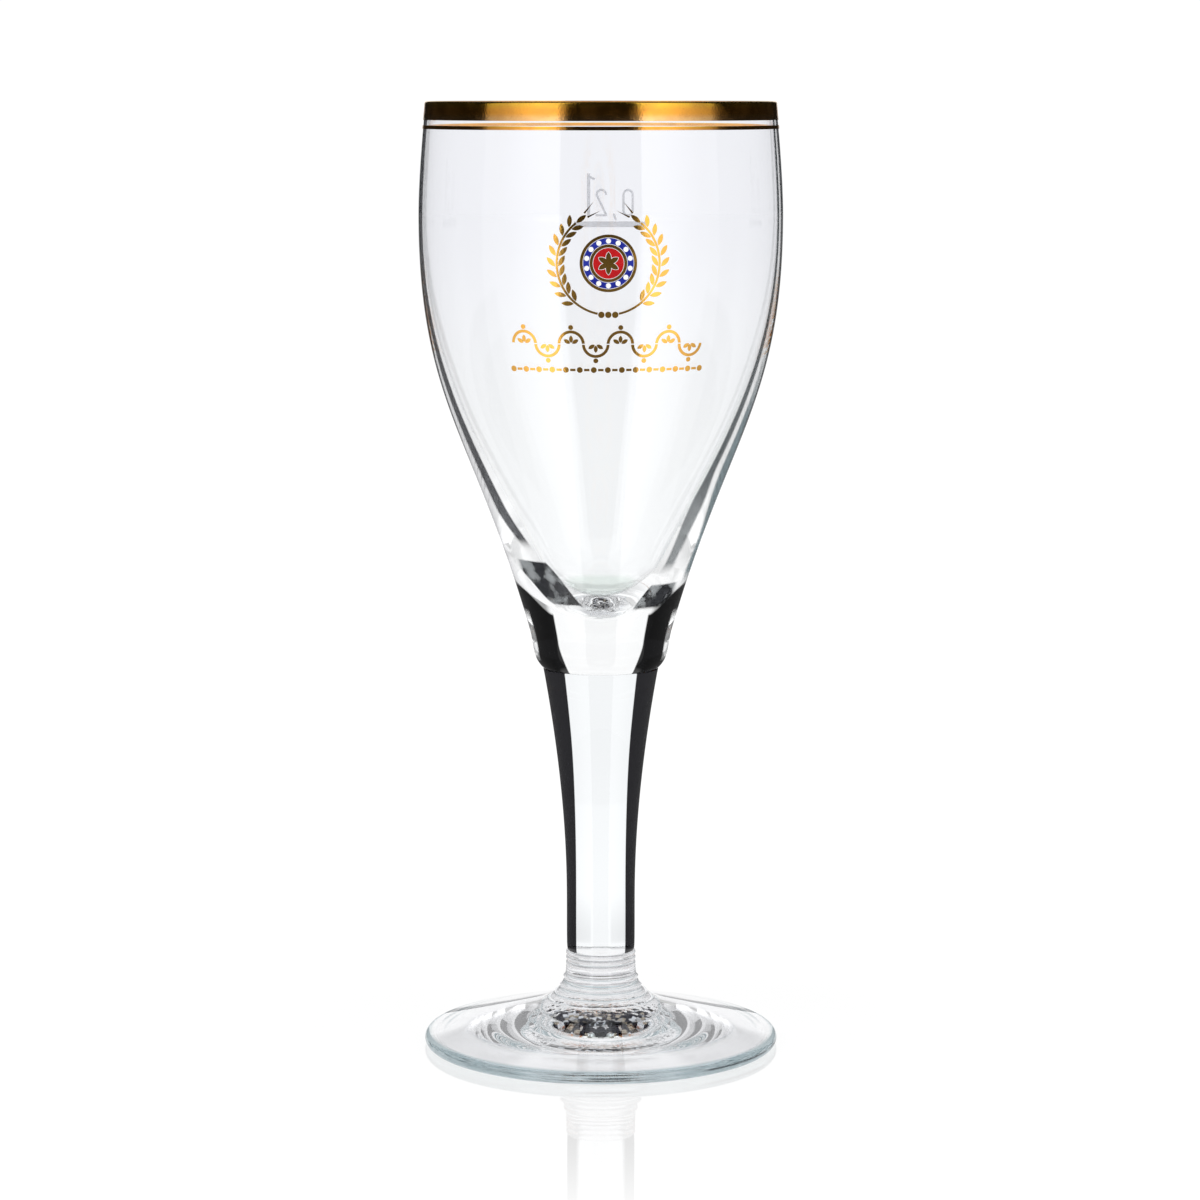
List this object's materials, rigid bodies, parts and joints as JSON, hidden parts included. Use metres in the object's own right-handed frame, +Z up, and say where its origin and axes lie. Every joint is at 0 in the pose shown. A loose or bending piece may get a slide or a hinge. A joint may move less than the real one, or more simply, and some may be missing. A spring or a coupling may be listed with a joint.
{
  "type": "chalice beer glass",
  "caption": "Stemmed chalice beer glass with a tapered bowl, drawn stem, hollow foot, gold rim, gold ornament, enamel medallion and fill mark.",
  "frame": {"origin": "centre of the flat ring that the foot rests on", "axes": "+Z up along the axis of the glass; the ornaments face -Y and the fill mark is on the +Y side"},
  "size_m": [0.077, 0.0772, 0.2023],
  "materials": {
    "clear_glass": "clear fire-polished soda-lime glass, faintly green where it is thick",
    "fired_gold": "bright fired gold, mirror-like, with faint streaks",
    "blue_enamel": "glossy fired enamel, deep blue",
    "red_enamel": "glossy fired enamel, bright red",
    "white_enamel": "glossy fired enamel, white",
    "etched_mark": "thin pale grey fired ink, matt and slightly see-through"
  },
  "bodies": {
    "root": {"bowl": "clear_glass", "stem": "clear_glass", "foot": "clear_glass", "rim_gold_band": "fired_gold", "hairline_gold_band": "fired_gold", "medallion_gold": "fired_gold", "medallion_blue": "blue_enamel", "medallion_red": "red_enamel", "medallion_pearls": "white_enamel", "barley_wreath": "fired_gold", "scroll_garland": "fired_gold", "bead_row": "fired_gold", "fill_line": "etched_mark", "fill_numerals": "etched_mark"}
  },
  "joints": []
}
